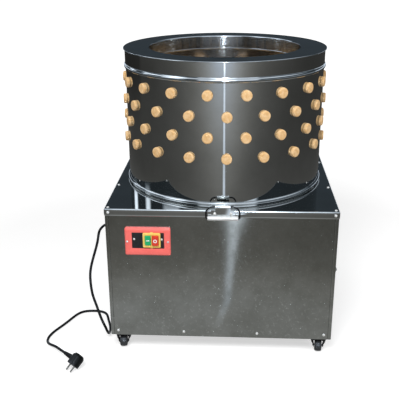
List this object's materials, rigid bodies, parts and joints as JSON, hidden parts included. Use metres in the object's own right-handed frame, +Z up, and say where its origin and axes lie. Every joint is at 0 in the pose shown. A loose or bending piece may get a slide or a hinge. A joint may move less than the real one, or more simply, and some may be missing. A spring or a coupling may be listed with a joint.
{
  "type": "poultry plucker",
  "caption": "Drum poultry plucker: square sheet-steel cabinet on casters, open drum with rubber fingers in its wall, turning finger plate with belt drive, push-button switch and side chute.",
  "frame": {"origin": "on the floor under the axis of the drum, which is the middle of the square cabinet", "axes": "+Z up along the drum's axis; the switch and handle side faces -Y; +X to the right seen from the front, towards the outlet chute"},
  "size_m": [0.9003, 0.7976, 0.863],
  "materials": {
    "polished_stainless": "mirror polished stainless sheet",
    "satin_stainless": "satin stainless sheet",
    "frame_steel": "grey primed steel",
    "machined_steel": "turned steel",
    "bright_plated": "bright nickel plating",
    "handle_wire": "dark plated wire",
    "finger_rubber": "matt natural rubber",
    "cast_iron": "as cast, oiled",
    "motor_paint": "hammered blue-grey enamel",
    "belt_rubber": "matt black rubber",
    "black_plastic": "moulded black",
    "red_plastic": "moulded coral red",
    "yellow_plastic": "moulded yellow",
    "green_plastic": "moulded green",
    "stop_plastic": "moulded signal red",
    "cord_pvc": "black PVC sheath",
    "pin_metal": "nickel-plated brass",
    "caster_metal": "black painted pressing",
    "wheel_rubber": "grey rubber tread"
  },
  "bodies": {
    "base": {"frame_posts": "frame_steel", "frame_bottom_rails": "frame_steel", "frame_top_rails": "frame_steel", "cross_rails": "frame_steel", "drive_plate": "frame_steel", "front_panel": "satin_stainless", "rear_panel": "satin_stainless", "left_panel": "satin_stainless", "right_panel": "satin_stainless", "panel_screws": "bright_plated", "lid": "polished_stainless", "lid_skirt": "polished_stainless", "lid_screws": "bright_plated", "pan_wall": "polished_stainless", "pan_floor": "polished_stainless", "outlet_chute": "polished_stainless", "drum_shell": "polished_stainless", "rim_ring": "polished_stainless", "wall_fingers_even_rows": "finger_rubber", "wall_fingers_odd_rows": "finger_rubber", "bearing_housing": "cast_iron", "shaft_bearings": "machined_steel", "drive_bolts": "machined_steel", "motor_flange": "motor_paint", "motor_body": "motor_paint", "motor_fan_cover": "motor_paint", "motor_terminal_box": "black_plastic", "drive_belt": "belt_rubber", "switch_plate": "red_plastic", "switch_body": "black_plastic", "switch_bezel": "yellow_plastic", "switch_screws": "bright_plated", "handle_plate": "bright_plated", "handle_rivets": "bright_plated", "cord_gland": "black_plastic", "power_cord": "cord_pvc", "plug_body": "cord_pvc", "plug_pins": "pin_metal", "caster_plates": "caster_metal"},
    "rotor": {"finger_plate": "polished_stainless", "plate_fingers": "finger_rubber", "plate_hub": "cast_iron", "hub_bolts": "machined_steel", "main_shaft": "machined_steel", "shaft_nut": "machined_steel", "driven_pulley": "cast_iron"},
    "motor_rotor": {"motor_shaft": "machined_steel", "motor_pulley": "cast_iron"},
    "start_push": {"start_button": "green_plastic"},
    "stop_push": {"stop_button": "stop_plastic"},
    "handle": {"handle_bail": "handle_wire", "handle_grip": "bright_plated"},
    "caster_front_left": {"fork_front_left": "caster_metal"},
    "wheel_front_left": {"wheel_front_left": "wheel_rubber"},
    "caster_front_right": {"fork_front_right": "caster_metal"},
    "wheel_front_right": {"wheel_front_right": "wheel_rubber"},
    "caster_rear_left": {"fork_rear_left": "caster_metal"},
    "wheel_rear_left": {"wheel_rear_left": "wheel_rubber"},
    "caster_rear_right": {"fork_rear_right": "caster_metal"},
    "wheel_rear_right": {"wheel_rear_right": "wheel_rubber"}
  },
  "joints": [
    {"name": "rotor_spin", "type": "hinge", "parent": "base", "child": "rotor", "pos_m": [0, 0, 0], "axis": [0, 0, 1], "continuous": true},
    {"name": "motor_spin", "type": "hinge", "parent": "base", "child": "motor_rotor", "pos_m": [-0.2, 0, 0], "axis": [0, 0, 1], "continuous": true},
    {"name": "start_press", "type": "slide", "parent": "base", "child": "start_push", "axis": [0, 1, 0], "range_m": [0, 0.004], "stiffness_N_per_m": 400},
    {"name": "stop_press", "type": "slide", "parent": "base", "child": "stop_push", "axis": [0, 1, 0], "range_m": [0, 0.004], "stiffness_N_per_m": 400},
    {"name": "handle_lift", "type": "hinge", "parent": "base", "child": "handle", "pos_m": [0.0055, -0.337, 0.4695], "axis": [-1, 0, 0], "range_deg": [0, 235]},
    {"name": "swivel_front_left", "type": "hinge", "parent": "base", "child": "caster_front_left", "pos_m": [-0.2954, -0.2954, 0.044], "axis": [0, 0, 1], "continuous": true},
    {"name": "roll_front_left", "type": "hinge", "parent": "caster_front_left", "child": "wheel_front_left", "pos_m": [-0.29442, -0.30937, 0.0185], "axis": [0.9976, 0.0698, 0], "continuous": true},
    {"name": "swivel_front_right", "type": "hinge", "parent": "base", "child": "caster_front_right", "pos_m": [0.2954, -0.2954, 0.044], "axis": [0, 0, 1], "continuous": true},
    {"name": "roll_front_right", "type": "hinge", "parent": "caster_front_right", "child": "wheel_front_right", "pos_m": [0.29369, -0.3093, 0.0185], "axis": [0.9925, -0.1219, 0], "continuous": true},
    {"name": "swivel_rear_left", "type": "hinge", "parent": "base", "child": "caster_rear_left", "pos_m": [-0.2954, 0.2954, 0.044], "axis": [0, 0, 1], "continuous": true},
    {"name": "roll_rear_left", "type": "hinge", "parent": "caster_rear_left", "child": "wheel_rear_left", "pos_m": [-0.29061, 0.30856, 0.0185], "axis": [-0.9397, 0.342, 0], "continuous": true},
    {"name": "swivel_rear_right", "type": "hinge", "parent": "base", "child": "caster_rear_right", "pos_m": [0.2954, 0.2954, 0.044], "axis": [0, 0, 1], "continuous": true},
    {"name": "roll_rear_right", "type": "hinge", "parent": "caster_rear_right", "child": "wheel_rear_right", "pos_m": [0.28948, 0.30809, 0.0185], "axis": [-0.9063, -0.4226, 0], "continuous": true}
  ],
  "couplings": [
    {"joint": "motor_spin", "follows": "rotor_spin", "ratio": 5}
  ]
}
